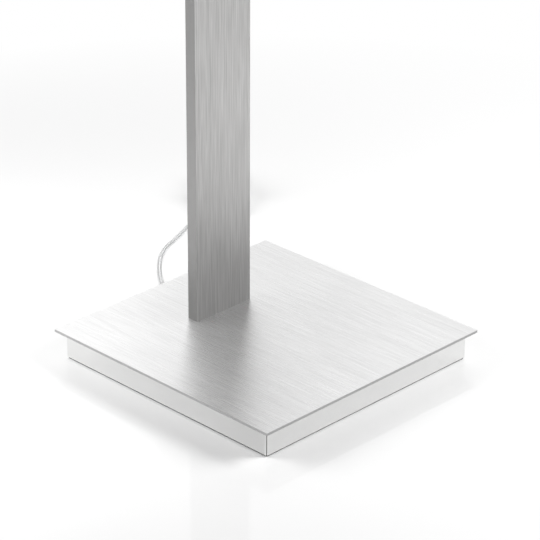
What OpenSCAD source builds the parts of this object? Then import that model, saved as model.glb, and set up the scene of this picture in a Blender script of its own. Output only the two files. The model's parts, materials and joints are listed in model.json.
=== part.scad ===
// Office floor lamp: a square steel base, a flat aluminium column and a tilting LED bar head.
// Millimetres, +Z up, the lamp's front faces -Y.
// The origin is on the floor, under the centre of the base.

/* [Base] */
// Side of the square top plate
base_side = 320; // [300:1:420]
// Height of the plate's top face above the floor
base_height = 34; // [34:0.5:60]
// Thickness of the top plate
plate_thickness = 3; // [2:0.5:6]
// How far the plinth stands back from the plate's edge
plinth_inset = 8.5; // [4:0.5:16]
// Thickness of the plinth's sheet
sheet_thickness = 1.5; // [1:0.1:2]
// Outside radius of the plinth's corners
plinth_corner = 2; // [1:0.1:4]
// Open joint between the plinth's four strips at each corner
plinth_joint = 0.9; // [0.4:0.1:1.2]
// Width of the plinth's inward flange
flange_width = 12; // [11:0.5:13]
// Thickness of the floor mat, the dark line under the plinth
mat_thickness = 1.5; // [1.2:0.1:3]
// How far the floor mat stands back from the plinth
mat_inset = 1; // [1:0.5:12]
// Thickness of the base cover
cover_thickness = 1.5; // [1:0.1:2]
// Thickness of the ballast plate
ballast_thickness = 16; // [12:0.5:17]
// Diameter of the holes that the cover's screws turn in
cover_thread = 4; // [3:0.1:5]

/* [Power supply] */
// Length of the driver case
driver_length = 112; // [90:1:112]
// Width of the driver case
driver_width = 40; // [30:1:42]
// Height of the driver case
driver_height = 21; // [16:0.5:22]
// Wall of the driver case
driver_wall = 1.2; // [0.8:0.1:2]
// Length of the terminal block
terminal_length = 20; // [16:1:22]
// Width of the terminal block
terminal_width = 20; // [16:1:24]
// Height of the terminal block
terminal_height = 19; // [17:0.5:21]

/* [Column] */
// Width of the column
column_width = 80; // [80:1:100]
// Thickness of the column
column_thickness = 14; // [14:0.1:18]
// Length of the column's profile
column_length = 1732; // [1500:1:1850]
// Distance from the column's centre to the base's rear edge
column_margin = 88.3; // [86:0.1:94]
// Wall of the column's profile
column_wall = 1.8; // [1.5:0.1:2]
// Radius of the column's long edges
column_edge = 0.5; // [0.2:0.1:1]
// Distance of each screw channel from the column's centre
channel_offset = 26; // [25:0.5:27]
// Width of the rib around each screw channel
rib_width = 9; // [8:0.5:10]
// Diameter of a screw channel
channel_bore = 5.5; // [4.5:0.1:5.8]
// How far the base's screws reach into the column
screw_grip = 20; // [12:1:40]
// Diameter of the low-voltage cable
cable_diameter = 3.4; // [2.6:0.1:3.8]

/* [Dimmer] */
// Height of the dimmer button above the floor
dimmer_height = 1100; // [900:1:1200]
// Diameter of the button
button_diameter = 14; // [12:0.5:15]
// How far the button moves in
button_travel = 1.2; // [0.8:0.1:1.2]
// How far the button stands out of its bezel
button_proud = 0.6; // [0.4:0.1:1]
// Diameter of the bezel's flange
bezel_flange = 24; // [22:0.5:28]
// Diameter of the bezel's barrel
bezel_barrel = 19; // [18.5:0.5:21]
// Thickness of the bezel's flange
bezel_thickness = 1; // [0.8:0.1:1.5]

/* [Hinge] */
// Outside diameter of the hinge's barrel
barrel_diameter = 16; // [15:0.5:17]
// Diameter of the hinge's axle
axle_diameter = 8; // [7:0.5:9]
// Bore of the hollow axle
axle_bore = 5.2; // [4.6:0.1:5.8]
// Width of the knuckle on the column
knuckle_width = 34; // [30:1:35]
// Thickness of a friction washer
washer_thickness = 1; // [0.5:0.1:1.5]
// Wall of a hinge bush
bush_wall = 1; // [0.8:0.1:1.4]
// Length of a hinge bush
bush_length = 3.5; // [2.5:0.1:4]
// Thickness of an axle cap
cap_thickness = 3; // [2:0.5:4]
// Thickness of the knuckle's shoulder on the column's end
shoulder_thickness = 6; // [5:0.5:8]
// Room between the shoulder and the head's lower face
hinge_rise = 4; // [3.5:0.5:6]

/* [Head] */
// Length of the head's housing
head_length = 560; // [450:1:650]
// Thickness of the head
head_thickness = 16; // [15:0.5:18]
// Wall of the head's housing
head_wall = 2; // [1.8:0.1:2.2]
// Thickness of the lips that hold the diffuser
lip_thickness = 1.2; // [1:0.1:1.5]
// Thickness of the diffuser
diffuser_thickness = 2; // [1.5:0.1:2]
// Length of the bracket inside the housing
bracket_length = 36; // [30:1:50]
// Thickness of the heat spreader
spreader_thickness = 3; // [2:0.1:3]
// Thickness of the LED board
board_thickness = 1.6; // [1:0.1:1.6]
// LEDs in a row
leds_per_row = 24; // [12:1:30]

/* [Cord] */
// Width of the flat cord
cord_width = 5.2; // [4.8:0.1:5.4]
// Thickness of the flat cord
cord_thickness = 2.6; // [2.4:0.1:2.7]
// Height of the cord gland's centre above the floor
gland_height = 10; // [10:0.5:12]
// Distance of the cord gland from the base's middle
gland_offset = 30; // [25:1:50]
// Length of the strain relief outside the plinth
relief_length = 25; // [20:1:27]
// Length of the hank's straight runs
hank_run = 80; // [80:1:100]
// Radius of the hank's tightest fold
hank_fold = 16; // [15.6:0.1:20]
// Step from one of the hank's loops to the next
hank_step = 3.6; // [3.6:0.1:4]
// Loops in each of the hank's two layers
hank_loops = 3; // [2:1:4]
// How far the hank is drawn in at its waist
hank_waist = 12; // [6:0.5:12]
// Distance between the plug's two pins
pin_spacing = 18.6; // [17.5:0.1:19]
// Thickness of the plug's body
plug_thickness = 13.7; // [11:0.1:14]

/* [Hidden] */

$fn = 64;
cut = 1; // how far a cutting shape passes through a face
running = 0.04; // radial clearance of a pin in its bore
thread_gap = 0.05; // radial gap between a screw or stud and its thread
hole_gap = 0.3; // radial gap between a screw and its clearance hole
seat_gap = 0.2; // gap around a piece that slides into another
end_gap = 0.05; // between a cable's end and what it enters

// Base levels and sides
plate_corner = 0.4;
plate_bottom = base_height - plate_thickness;
plinth_side = base_side - 2 * plinth_inset;
plinth_inner = plinth_side - 2 * sheet_thickness;
flange_inner = plinth_inner - 2 * flange_width;
cover_top = mat_thickness + cover_thickness;
cover_side = plinth_inner - 1;
cover_corner = 1;
mat_corner = 2;
column_setback = base_side / 2 - column_margin;
ballast_bottom = plate_bottom - ballast_thickness;
ballast_clearance = 6; // from the ballast to the flange
ballast_behind_column = 18.3; // from the column's centre to the ballast's rear edge
ballast_front = -flange_inner / 2 + ballast_clearance;
ballast_rear = column_setback + ballast_behind_column;
ballast_width = flange_inner - 2 * ballast_clearance;

// Studs: [diameter, nut across flats, nut height]
flange_stud = [4, 7, 3.2];
ballast_stud = [6, 10, 5];
driver_stud = [3, 5.5, 2.4];
stud_past_nut = 1.5; // how far a stud stands out of its nut
flange_stud_line = plinth_inner / 2 - flange_width / 2;
flange_stud_spread = 100;
ballast_edge = 16; // from the ballast's edge to its studs and the cover's screws
ballast_stud_x = ballast_width / 2 - ballast_edge;
ballast_stud_y = [ballast_front + ballast_edge, ballast_rear - ballast_edge];
cover_screw_x = ballast_width / 2 - ballast_edge;
cover_screw_inset = [70, 50]; // from the ballast's front and rear edges
cover_screw_y = [ballast_front + cover_screw_inset[0], ballast_rear - cover_screw_inset[1]];
cover_head = [8, 1.2]; // diameter and height of a cover screw's head
cover_head_room = 2; // how much wider the mat's hole is than that head
cover_socket = [2.5, 0.8]; // size and depth of that head's hexagon
cover_thread_depth = 10; // depth of the ballast's threaded holes
cover_screw_grip = 9; // how far the screws reach into them
spacer_diameter = 10;

// Driver and terminal block, in the bay behind the ballast
bay_centre = (ballast_rear + flange_inner / 2) / 2;
driver_ear = 10;
ear_thickness = 2;
ear_clearance = 2; // from the driver's ear to the plinth's flange
driver_left = -flange_inner / 2 + ear_clearance + driver_ear;
driver_right = driver_left + driver_length;
driver_bottom = plate_bottom - driver_height;
terminal_left = driver_right + 6;
terminal_y = bay_centre - 8;
terminal_hole = 4; // diameter and depth of the block's screw holes
lead_height = 20;
lead_diameter = 2;
lead_pitch = 10; // between the two leads, and the block's two screw holes
driver_board_gap = 0.5; // around the board inside the case
driver_board_thickness = 1.6;
standoff = [4, 2]; // side and height of the board's feet
standoff_inset = [6, 4];
transformer = [24, 22, 11];
capacitor = [12, 10]; // diameter and height
inductor = [16, 14, 8];
inductor_place = 0.78; // as a share of the board's length
cable_exit_x = driver_right - 6;
cable_exit_z = 12.2;

// Cord clamp
clamp_y = plinth_inner / 2 - 22;
clamp_size = [26, 9];
clamp_screw_offset = 9;
clamp_split = gland_height + 1;
clamp_bottom = gland_height - 4.5;
clamp_gap = 0.2; // between the block and the bar
clamp_fit = 0.05; // around the cord
clamp_screw = 2.9;
clamp_screw_head = [5.5, 2];
clamp_screw_length = 14;
clamp_thread = [3, 12]; // diameter and depth of the block's holes
clamp_screw_hole = 3.4;

// Cord gland
gland_neck = 10;
gland_flange = 13;
gland_inner = 2;

// Column
column_bottom = base_height;
column_top = column_bottom + column_length;
column_inside = column_thickness - 2 * column_wall;
front_face = column_setback - column_thickness / 2;
rear_inside = column_setback + column_inside / 2;
column_screw = 5.4;
column_screw_head = [10, 6];
column_socket = [5.6, 3.5]; // size and depth of that head's hexagon
washer_size = [15, 1.6];
cable_hole = 10;
ballast_cable_hole = 12;
grommet_flange = [11.6, 2]; // diameter and thickness
grommet_bore = cable_diameter + 0.8;
grommet_fit = 0.05; // radial gap in the plate's hole
grommet_rise = 1.5; // how far the grommet stands into the column

// Dimmer, measured along Y from the column's front face
bezel_front = front_face - bezel_thickness;
bezel_depth = 5;
button_step = 3.3; // from the column's face to the button's rim
button_rim = 1.2; // how far the rim stands out
rim_thickness = 1;
button_front = bezel_front - button_proud;
rim_front = front_face + button_step - rim_thickness;
button_rear = front_face + button_step;
carrier_thickness = 1.5;
dimmer_board_thickness = 1.2;
carrier_front = rear_inside - carrier_thickness;
dimmer_board_front = carrier_front - dimmer_board_thickness;
switch_height = 2;
switch_side = 6;
plunger_height = 0.5;
stem_gap = 0.1; // between the pressed button's stem and the switch
stem_end = dimmer_board_front - switch_height - plunger_height - button_travel - stem_gap;
spring_wire = 0.8;
spring_mean_radius = 5.4;
spring_turns = 4;
cable_side = 16; // where the cable passes the dimmer
cable_bend = [40, 90, 140]; // heights above the base where the cable moves to that side
cable_past_dimmer = 60; // where it leaves that side again
cable_gather = [80, 25, 4]; // distances below the knuckle's insert where it comes back to the middle
dimmer_board_size = [22, 30];
dimmer_carrier_size = [24, 40];
stem_diameter = 6;
plunger_diameter = 3;
dimmer_lead = 1.2;

// Hinge, measured along X from the lamp's middle plane
shoulder_top = column_top + shoulder_thickness;
axis_height = shoulder_top + hinge_rise + head_thickness / 2;
side_gap = 0.1; // beside a friction washer
ear_inner = knuckle_width / 2 + washer_thickness + 2 * side_gap;
cap_inner = column_width / 2 - cap_thickness;
ear_outer = cap_inner - seat_gap;
neck_thickness = 10;
knuckle_screw_head = 10;
knuckle_screw_length = 22;
knuckle_socket = [3.4, 2]; // size and depth of the screw head's hexagon
head_sink = 0.2; // how far those screw heads lie below the shoulder
insert_depth = 40;
set_screw_diameter = 4;
cap_spigot = 8;
cap_rebate = 0.3; // how much smaller a cap is than the barrel, all round
cap_socket = [4.6, 1.6]; // size and depth of its hexagon
washer_rebate = 0.5; // how much smaller a friction washer is, all round
window_margin = 0.8; // from the axle's window to the bushes
window_turn = 35; // turn of that window about the axle
window_past = 0.8; // how far it is cut past the axle's middle
axle_window = [ear_inner + bush_length + window_margin, ear_outer - bush_length - window_margin];
cable_lane = (axle_window[0] + axle_window[1]) / 2;
knuckle_cable_bore = 4.6;

// Head, measured from the hinge's axis
head_gap = barrel_diameter / 2 + 3; // from the axis to the housing's rear end
head_rear = column_setback - head_gap;
head_front = head_rear - head_length;
head_top = axis_height + head_thickness / 2;
head_bottom = axis_height - head_thickness / 2;
head_inner_top = head_top - head_wall;
diffuser_bottom = head_bottom + lip_thickness;
diffuser_top = diffuser_bottom + diffuser_thickness;
lip_width = 2;
flush_gap = 0.1; // how far a countersunk head lies below its face
end_screw = [2.8, 5.4, 12]; // diameter, head, length
end_socket = [1.8, 1.2];
corner_boss = 6.4;
corner_bore = 2.9;
corner_x = column_width / 2 - head_wall - corner_boss / 2 + 0.1;
corner_z = head_inner_top - corner_boss / 2 + 0.1;
bracket_half = corner_x - corner_boss / 2 - 0.6;
bracket_front = head_rear - bracket_length;
bracket_top = head_inner_top - seat_gap;
bracket_bottom = diffuser_top + seat_gap;
arm_height = 12; // of the bracket's arms between the head and the barrels
web = [2, 4]; // how far the bracket's ends reach under the arms, and their depth
bracket_thread = 4;
bracket_screw = [3.9, 7.4, 8]; // diameter, head, length
bracket_socket = [2.5, 1.4];
bracket_screw_x = 20;
bracket_screw_y = [head_rear - 9, bracket_front + 8];
spreader_half = bracket_half;
spreader_rear = bracket_front - 3;
spreader_front = head_front + 2;
spreader_bottom = head_inner_top - spreader_thickness;
led_board_half = spreader_half - 2;
led_board_rear = spreader_rear - 2;
led_board_front = spreader_front + 2;
led_board_bottom = spreader_bottom - board_thickness;
board_screw = 2.5;
board_screw_head = [4.8, 1.4];
board_screw_margin = [4, 14]; // from the board's edges
led_margin = [20, 10]; // from the board's rear and front ends to the first and last LED
led_size = [3, 3, 0.7];
led_row_x = 14;
connector_size = [8, 8, 5];
connector_x = led_board_half - 5;

// The cord's own sizes
tail_relief = 20;
plug_length = 36;
plug_width = 36;
plug_edge = 4; // radius of the plug's long edges
plug_corner = 3; // radius of its outline's corners
plug_neck = 18; // its width where the relief enters
plug_full = 20; // where it reaches its full width
plug_reach = 14.6; // from the plug's middle to those corners' centres
pin_length = 19;
pin_diameter = 4;
layer_step = cord_width + 0.6; // from the hank's lower layer to its upper one
waist_lift = 1.1; // how far the hank is lifted where the tie passes under it
tie_thickness = 0.8;
tie_width = 12;
tie_reach = 0.82; // share of the waist's drawing in that is left at the tie's edges
tie_corner = [2, 1.4]; // outside and inside
join_gap = 0.42; // from the free stretch's end to the hank's first ring, which stands at a slant

// Route of the cord's free stretch, from the strain relief to the hank
cord_route = [
    [30, 176.55, 10], [30, 179.5, 10], [30, 182.5, 9.9], [30.3, 187, 9.1], [31.6, 193, 6.8],
    [35, 200, 3.8], [41.5, 207.5, 1.9], [47.5, 216, 1.36], [58.5, 230, 1.32], [71.5, 244.5, 1.31],
    [87, 259.5, 1.31], [102, 271, 1.31], [116.5, 279, 1.31], [135, 286, 1.31], [149.5, 292, 1.33],
    [161, 297, 1.45], [170, 301, 1.8], [180.5, 304.5, 2.2], [191, 308, 2.5], [201, 312.5, 2.62]];
// Turn of the flat cord about its own line at each of those points, from lying flat to on edge
cord_turn = [0, 0, 0, 0, 0, 0, 0, 0, 0, 0, 0, 0, 0, 0, 0, 3, 18, 40, 62, 80];

// Place and direction of the hank, behind the column
hank_at = [260.5, 332];
hank_angle = 46;

// The hank has 24 steps to a loop: 4 along a run, 8 round a fold, 4 back and 8 round
hank_rings = 24;
hank_climb = hank_loops * hank_rings; // where the spiral reverses and the line climbs a layer
hank_last = 2 * hank_climb + 2; // the middle of the last run, under the tie

// The cord's end in the hank's own frame, from the last run under the tie to the plug's relief
tail_route = [
    [6, 16.5, 9.5], [14, 19.3, 10.3], [22, 22.3, 11.7], [31, 25.3, 13.5], [40, 26.8, 15.2],
    [48, 24.6, 16.1], [53.9, 18.6, 16.9], [56, 10.6, 17.7], [53.9, 2.6, 18.5], [48, -3.4, 19.3],
    [42, -5.5, 19.9], [38, -5.5, 20.2], [34, -5.5, 20.2]];
tail_turn = [90, 90, 90, 90, 90, 90, 88, 72, 50, 28, 10, 0, 0];
plug_place = [34, -5.5, 20.2]; // where the plug's relief begins, in the hank's frame

// Colours
brushed = "#c9c9c8";
polished = "#dfe2e5";
zinc = "#b9bcc0";
black = "#232426";
clear = "#d9dcdc";
board_green = "#2f6b4a";
brass_tone = "#c8a457";
white = "#f3f2ee";

// ------------------------------------------------------------------ shared shapes

module rounded(size, r) {
    union() {
        square([size.x - 2 * r, size.y], center = true);
        square([size.x, size.y - 2 * r], center = true);
        for (x = [-1, 1], y = [-1, 1])
            translate([x * (size.x / 2 - r), y * (size.y / 2 - r)]) circle(r);
    }
}

// A cylinder along +Y from the given point
module along_y(at, d, length) {
    translate(at) rotate([-90, 0, 0]) cylinder(d = d, h = length);
}

// A cylinder along +X from the given point
module along_x(at, d, length) {
    translate(at) rotate([0, 90, 0]) cylinder(d = d, h = length);
}

// A hexagon nut with its top face at the origin
module nut(stud) {
    translate([0, 0, -stud[2]]) difference() {
        cylinder(d = stud[1] / cos(30), h = stud[2], $fn = 6);
        translate([0, 0, -cut]) cylinder(d = stud[0] + 2 * thread_gap, h = stud[2] + 2 * cut);
    }
}

// A countersunk screw pointing down, its head's flat face at the origin
module countersunk(d, head, length) {
    head_depth = (head - d) / 2;
    union() {
        translate([0, 0, -head_depth]) cylinder(d1 = d, d2 = head, h = head_depth);
        translate([0, 0, -length]) cylinder(d = d, h = length - head_depth);
    }
}

// The hole that such a screw sits in
module countersink(d, head, length) {
    head_depth = (head - d) / 2;
    union() {
        translate([0, 0, -head_depth]) cylinder(d1 = d, d2 = head, h = head_depth);
        translate([0, 0, -length]) cylinder(d = d, h = length);
        cylinder(d = head, h = cut);
    }
}

// ------------------------------------------------------------------ sweeping along a line

function unit(v) = v / norm(v);

// A point between b and c on a smooth curve through a, b, c and d
function between(a, b, c, d, t) =
    0.5 * (2 * b + (c - a) * t + (2 * a - 5 * b + 4 * c - d) * t * t
        + (3 * b - a - 3 * c + d) * t * t * t);

function smooth(points, steps) = let (last = len(points) - 1) [
    for (i = [0 : last - 1], j = [0 : steps - 1])
        between(points[max(i - 1, 0)], points[i], points[i + 1], points[min(i + 2, last)], j / steps),
    points[last]];

function ring(at, forward, reference, section, turn) =
    let (across = unit(cross(forward, reference)), up = cross(across, forward))
    [for (s = section) at + (s.x * cos(turn) - s.y * sin(turn)) * across
        + (s.x * sin(turn) + s.y * cos(turn)) * up];

function direction(path, i) = unit(path[min(i + 1, len(path) - 1)] - path[max(i - 1, 0)]);

function tube_points(path, section, turns, reference) = [
    for (i = [0 : len(path) - 1])
        each ring(path[i], direction(path, i), reference, section, turns[i])];

function tube_faces(rings, sides) = [
    for (k = [1 : sides - 2]) [0, k + 1, k],
    for (i = [0 : rings - 2], k = [0 : sides - 1])
        let (a = i * sides + k, b = i * sides + (k + 1) % sides)
        each [[a, b, b + sides], [a, b + sides, a + sides]],
    for (k = [1 : sides - 2]) let (end = (rings - 1) * sides) [end, end + k, end + k + 1]];

module tube(path, section, turns = [], reference = [0, 0, 1]) {
    all_turns = len(turns) == 0 ? [for (p = path) 0] : turns;
    polyhedron(tube_points(path, section, all_turns, reference),
        tube_faces(len(path), len(section)), convexity = 10);
}

function round_section(d, sides) = [
    for (k = [0 : sides - 1]) d / 2 * [cos(k * 360 / sides), sin(k * 360 / sides)]];

// The outline of a flat cord: two half circles joined by straight sides
function flat_section(width, thickness, sides) = [
    for (k = [0 : sides - 1])
        let (half = sides / 2, right = k < half,
            a = -90 + 180 * (k % half) / (half - 1) + (right ? 0 : 180))
        [(right ? 1 : -1) * (width - thickness) / 2, 0] + thickness / 2 * [cos(a), sin(a)]];

// ------------------------------------------------------------------ base

module top_plate() color(brushed) difference() {
    translate([0, 0, plate_bottom]) linear_extrude(plate_thickness)
        rounded([base_side, base_side], plate_corner);
    translate([0, column_setback, plate_bottom - cut]) {
        cylinder(d = cable_hole, h = plate_thickness + 2 * cut);
        for (x = [-1, 1])
            translate([x * channel_offset, 0, 0])
                cylinder(d = column_screw + 2 * hole_gap, h = plate_thickness + 2 * cut);
    }
}

module hang_stud(at, stud, through) {
    length = through + stud[2] + stud_past_nut;
    translate([at.x, at.y, plate_bottom - length]) cylinder(d = stud[0], h = length);
}

function flange_stud_places() = [
    for (along = [-1, 1], side = [-1, 1])
        each [[along * flange_stud_spread, side * flange_stud_line],
            [side * flange_stud_line, along * flange_stud_spread]]];

function ballast_stud_places() = [for (x = [-1, 1], y = ballast_stud_y) [x * ballast_stud_x, y]];

module plate_studs() color(zinc) {
    for (p = flange_stud_places()) hang_stud(p, flange_stud, sheet_thickness);
    for (p = ballast_stud_places()) hang_stud(p, ballast_stud, ballast_thickness);
    hang_stud([driver_left - driver_ear / 2, bay_centre], driver_stud, ear_thickness);
}

module plinth_frame() color(polished) {
    height = plate_bottom - mat_thickness;
    difference() {
        translate([0, 0, mat_thickness]) linear_extrude(height)
            rounded([plinth_side, plinth_side], plinth_corner);
        translate([0, 0, mat_thickness - cut]) linear_extrude(height - sheet_thickness + cut)
            rounded([plinth_inner, plinth_inner], max(plinth_corner - sheet_thickness, 0.2));
        translate([0, 0, plate_bottom - sheet_thickness - cut])
            linear_extrude(sheet_thickness + 2 * cut) square(flange_inner, center = true);
        for (p = flange_stud_places())
            translate([p.x, p.y, plate_bottom - sheet_thickness - cut])
                cylinder(d = flange_stud[0] + 2 * hole_gap, h = sheet_thickness + 2 * cut);
        along_y([gland_offset, plinth_inner / 2 - cut, gland_height],
            gland_neck + 2 * thread_gap, sheet_thickness + 2 * cut);
        // the mitres, which part the ring into four strips
        for (a = [45, 135])
            rotate(a) translate([-plinth_side, -plinth_joint / 2, mat_thickness - cut])
                cube([2 * plinth_side, plinth_joint, height + 2 * cut]);
    }
}

module flange_nuts() color(zinc)
    for (p = flange_stud_places())
        translate([p.x, p.y, plate_bottom - sheet_thickness]) nut(flange_stud);

module ballast_plate() color("#5b5e62") difference() {
    translate([-ballast_width / 2, ballast_front, ballast_bottom])
        cube([ballast_width, ballast_rear - ballast_front, ballast_thickness]);
    for (p = ballast_stud_places())
        translate([p.x, p.y, ballast_bottom - cut])
            cylinder(d = ballast_stud[0] + 2 * hole_gap, h = ballast_thickness + 2 * cut);
    for (x = [-1, 1], y = cover_screw_y)
        translate([x * cover_screw_x, y, ballast_bottom - cut])
            cylinder(d = cover_thread, h = cover_thread_depth + cut);
    translate([0, column_setback, ballast_bottom - cut]) {
        cylinder(d = ballast_cable_hole, h = ballast_thickness + 2 * cut);
        for (x = [-1, 1])
            translate([x * channel_offset, 0, 0])
                cylinder(d = column_screw + 2 * hole_gap, h = ballast_thickness + 2 * cut);
    }
}

module ballast_nuts() color(zinc)
    for (p = ballast_stud_places()) translate([p.x, p.y, ballast_bottom]) nut(ballast_stud);

module floor_mat() color(black) difference() {
    linear_extrude(mat_thickness)
        rounded([plinth_side - 2 * mat_inset, plinth_side - 2 * mat_inset], mat_corner);
    for (x = [-1, 1], y = cover_screw_y)
        translate([x * cover_screw_x, y, -cut])
            cylinder(d = cover_head[0] + cover_head_room, h = mat_thickness + 2 * cut);
}

module base_cover() color(black) difference() {
    translate([0, 0, mat_thickness]) linear_extrude(cover_thickness)
        rounded([cover_side, cover_side], cover_corner);
    for (x = [-1, 1], y = cover_screw_y)
        translate([x * cover_screw_x, y, mat_thickness - cut])
            cylinder(d = cover_thread + 2 * hole_gap, h = cover_thickness + 2 * cut);
}

module cover_spacers() color(zinc)
    for (x = [-1, 1], y = cover_screw_y)
        translate([x * cover_screw_x, y, cover_top]) difference() {
            cylinder(d = spacer_diameter, h = ballast_bottom - cover_top);
            translate([0, 0, -cut])
                cylinder(d = cover_thread + 2 * hole_gap, h = ballast_bottom - cover_top + 2 * cut);
        }

module cover_screws() color(black)
    for (x = [-1, 1], y = cover_screw_y)
        translate([x * cover_screw_x, y, mat_thickness - cover_head[1]]) difference() {
            union() {
                cylinder(d = cover_head[0], h = cover_head[1]);
                cylinder(d = cover_thread - 2 * thread_gap,
                    h = cover_head[1] + ballast_bottom - mat_thickness + cover_screw_grip);
            }
            translate([0, 0, -cut]) cylinder(d = cover_socket[0], h = cover_socket[1] + cut, $fn = 6);
        }

module column_screws() color(zinc)
    for (x = [-1, 1])
        translate([x * channel_offset, column_setback, ballast_bottom - washer_size[1]]) {
            difference() {
                translate([0, 0, -column_screw_head[1]])
                    cylinder(d = column_screw_head[0], h = column_screw_head[1]);
                translate([0, 0, -column_screw_head[1] - cut])
                    cylinder(d = column_socket[0], h = column_socket[1] + cut, $fn = 6);
            }
            cylinder(d = column_screw,
                h = washer_size[1] + ballast_thickness + plate_thickness + screw_grip);
        }

module column_washers() color(zinc)
    for (x = [-1, 1])
        translate([x * channel_offset, column_setback, ballast_bottom - washer_size[1]]) difference() {
            cylinder(d = washer_size[0], h = washer_size[1]);
            translate([0, 0, -cut]) cylinder(d = column_screw + 2 * hole_gap, h = washer_size[1] + 2 * cut);
        }

module cable_grommet() color(black)
    translate([0, column_setback, 0]) difference() {
        union() {
            translate([0, 0, plate_bottom - grommet_flange[1]])
                cylinder(d = grommet_flange[0], h = grommet_flange[1]);
            translate([0, 0, plate_bottom])
                cylinder(d = cable_hole - 2 * grommet_fit, h = plate_thickness + grommet_rise);
        }
        translate([0, 0, plate_bottom - grommet_flange[1] - cut])
            cylinder(d = grommet_bore, h = grommet_flange[1] + plate_thickness + grommet_rise + 2 * cut);
    }

// ------------------------------------------------------------------ power supply

module driver_case() color(white) difference() {
    union() {
        translate([driver_left, bay_centre - driver_width / 2, driver_bottom + driver_wall])
            cube([driver_length, driver_width, driver_height - driver_wall]);
        translate([driver_left - driver_ear, bay_centre - driver_ear / 2, plate_bottom - ear_thickness])
            cube([driver_ear + cut, driver_ear, ear_thickness]);
    }
    translate([driver_left + driver_wall, bay_centre - driver_width / 2 + driver_wall, driver_bottom])
        cube([driver_length - 2 * driver_wall, driver_width - 2 * driver_wall, driver_height - driver_wall]);
    translate([driver_left - driver_ear / 2, bay_centre, plate_bottom - ear_thickness - cut])
        cylinder(d = driver_stud[0] + 2 * hole_gap, h = ear_thickness + 2 * cut);
}

module driver_lid() color(white)
    translate([driver_left, bay_centre - driver_width / 2, driver_bottom])
        cube([driver_length, driver_width, driver_wall]);

module driver_board() color(board_green) {
    inset = driver_wall + driver_board_gap;
    length = driver_length - 2 * inset;
    width = driver_width - 2 * inset;
    board_top = standoff[1] + driver_board_thickness;
    translate([driver_left + inset, bay_centre - driver_width / 2 + inset, driver_bottom + driver_wall]) {
        translate([0, 0, standoff[1]]) cube([length, width, driver_board_thickness]);
        for (x = [standoff_inset.x, length - standoff_inset.x - standoff[0]],
            y = [standoff_inset.y, width - standoff_inset.y - standoff[0]])
            translate([x, y, 0]) cube([standoff[0], standoff[0], standoff[1]]);
        translate([(length - transformer.x) / 2, (width - transformer.y) / 2, board_top]) cube(transformer);
        translate([length / 4, width / 2, board_top]) cylinder(d = capacitor[0], h = capacitor[1]);
        translate([length * inductor_place, (width - inductor.y) / 2, board_top]) cube(inductor);
    }
}

module driver_nuts() color(zinc)
    translate([driver_left - driver_ear / 2, bay_centre, plate_bottom - ear_thickness]) nut(driver_stud);

module terminal_block() color("#e9e6da") difference() {
    translate([terminal_left, terminal_y - terminal_width / 2, plate_bottom - terminal_height])
        cube([terminal_length, terminal_width, terminal_height]);
    for (side = [-1, 1])
        translate([terminal_left + terminal_length / 2, terminal_y + side * lead_pitch / 2,
            plate_bottom - terminal_height - cut])
            cylinder(d = terminal_hole, h = terminal_hole + cut);
}

module primary_leads() color("#3a6ea8")
    for (side = [-1, 1])
        along_x([driver_right, terminal_y + side * lead_pitch / 2, lead_height], lead_diameter,
            terminal_left - driver_right);

module clamp_block() color(black) difference() {
    translate([gland_offset - clamp_size.x / 2, clamp_y - clamp_size.y / 2, clamp_split])
        cube([clamp_size.x, clamp_size.y, plate_bottom - clamp_split]);
    translate([gland_offset, clamp_y - clamp_size.y, gland_height])
        rotate([-90, 0, 0]) linear_extrude(2 * clamp_size.y)
            rounded([cord_width + 2 * clamp_fit, cord_thickness + 2 * clamp_fit], cord_thickness / 2);
    for (x = [-1, 1])
        translate([gland_offset + x * clamp_screw_offset, clamp_y, clamp_split - cut])
            cylinder(d = clamp_thread[0], h = clamp_thread[1] + cut);
}

module clamp_bar() color(black) difference() {
    translate([gland_offset - clamp_size.x / 2, clamp_y - clamp_size.y / 2, clamp_bottom])
        cube([clamp_size.x, clamp_size.y, clamp_split - clamp_bottom - clamp_gap]);
    translate([gland_offset, clamp_y - clamp_size.y, gland_height])
        rotate([-90, 0, 0]) linear_extrude(2 * clamp_size.y)
            rounded([cord_width + 2 * clamp_fit, cord_thickness + 2 * clamp_fit], cord_thickness / 2);
    for (x = [-1, 1])
        translate([gland_offset + x * clamp_screw_offset, clamp_y, clamp_bottom - cut])
            cylinder(d = clamp_screw_hole, h = clamp_split - clamp_bottom + 2 * cut);
}

module clamp_screws() color(zinc)
    for (x = [-1, 1])
        translate([gland_offset + x * clamp_screw_offset, clamp_y, clamp_bottom]) {
            translate([0, 0, -clamp_screw_head[1]])
                cylinder(d = clamp_screw_head[0], h = clamp_screw_head[1]);
            cylinder(d = clamp_screw, h = clamp_screw_length);
        }

module mains_tail() color(clear) {
    start_y = plinth_inner / 2 - gland_inner - end_gap;
    clamp_end = clamp_y - clamp_size.y / 2 - 1;
    end_x = terminal_left + terminal_length;
    path = concat(
        [[gland_offset, start_y, gland_height], [gland_offset, clamp_y, gland_height]],
        smooth([[gland_offset, clamp_end, gland_height],
            [gland_offset - 0.5, clamp_end - 3, gland_height + 0.5],
            [gland_offset - 3, clamp_end - 8, gland_height + 2.5],
            [end_x + 9, terminal_y + 1.5, gland_height + 4.5],
            [end_x + 5, terminal_y, gland_height + 6], [end_x + 2, terminal_y, gland_height + 6]], 3),
        [[end_x + end_gap, terminal_y, gland_height + 6]]);
    tube(path, flat_section(cord_width, cord_thickness, 10));
}

// ------------------------------------------------------------------ cord gland

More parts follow.
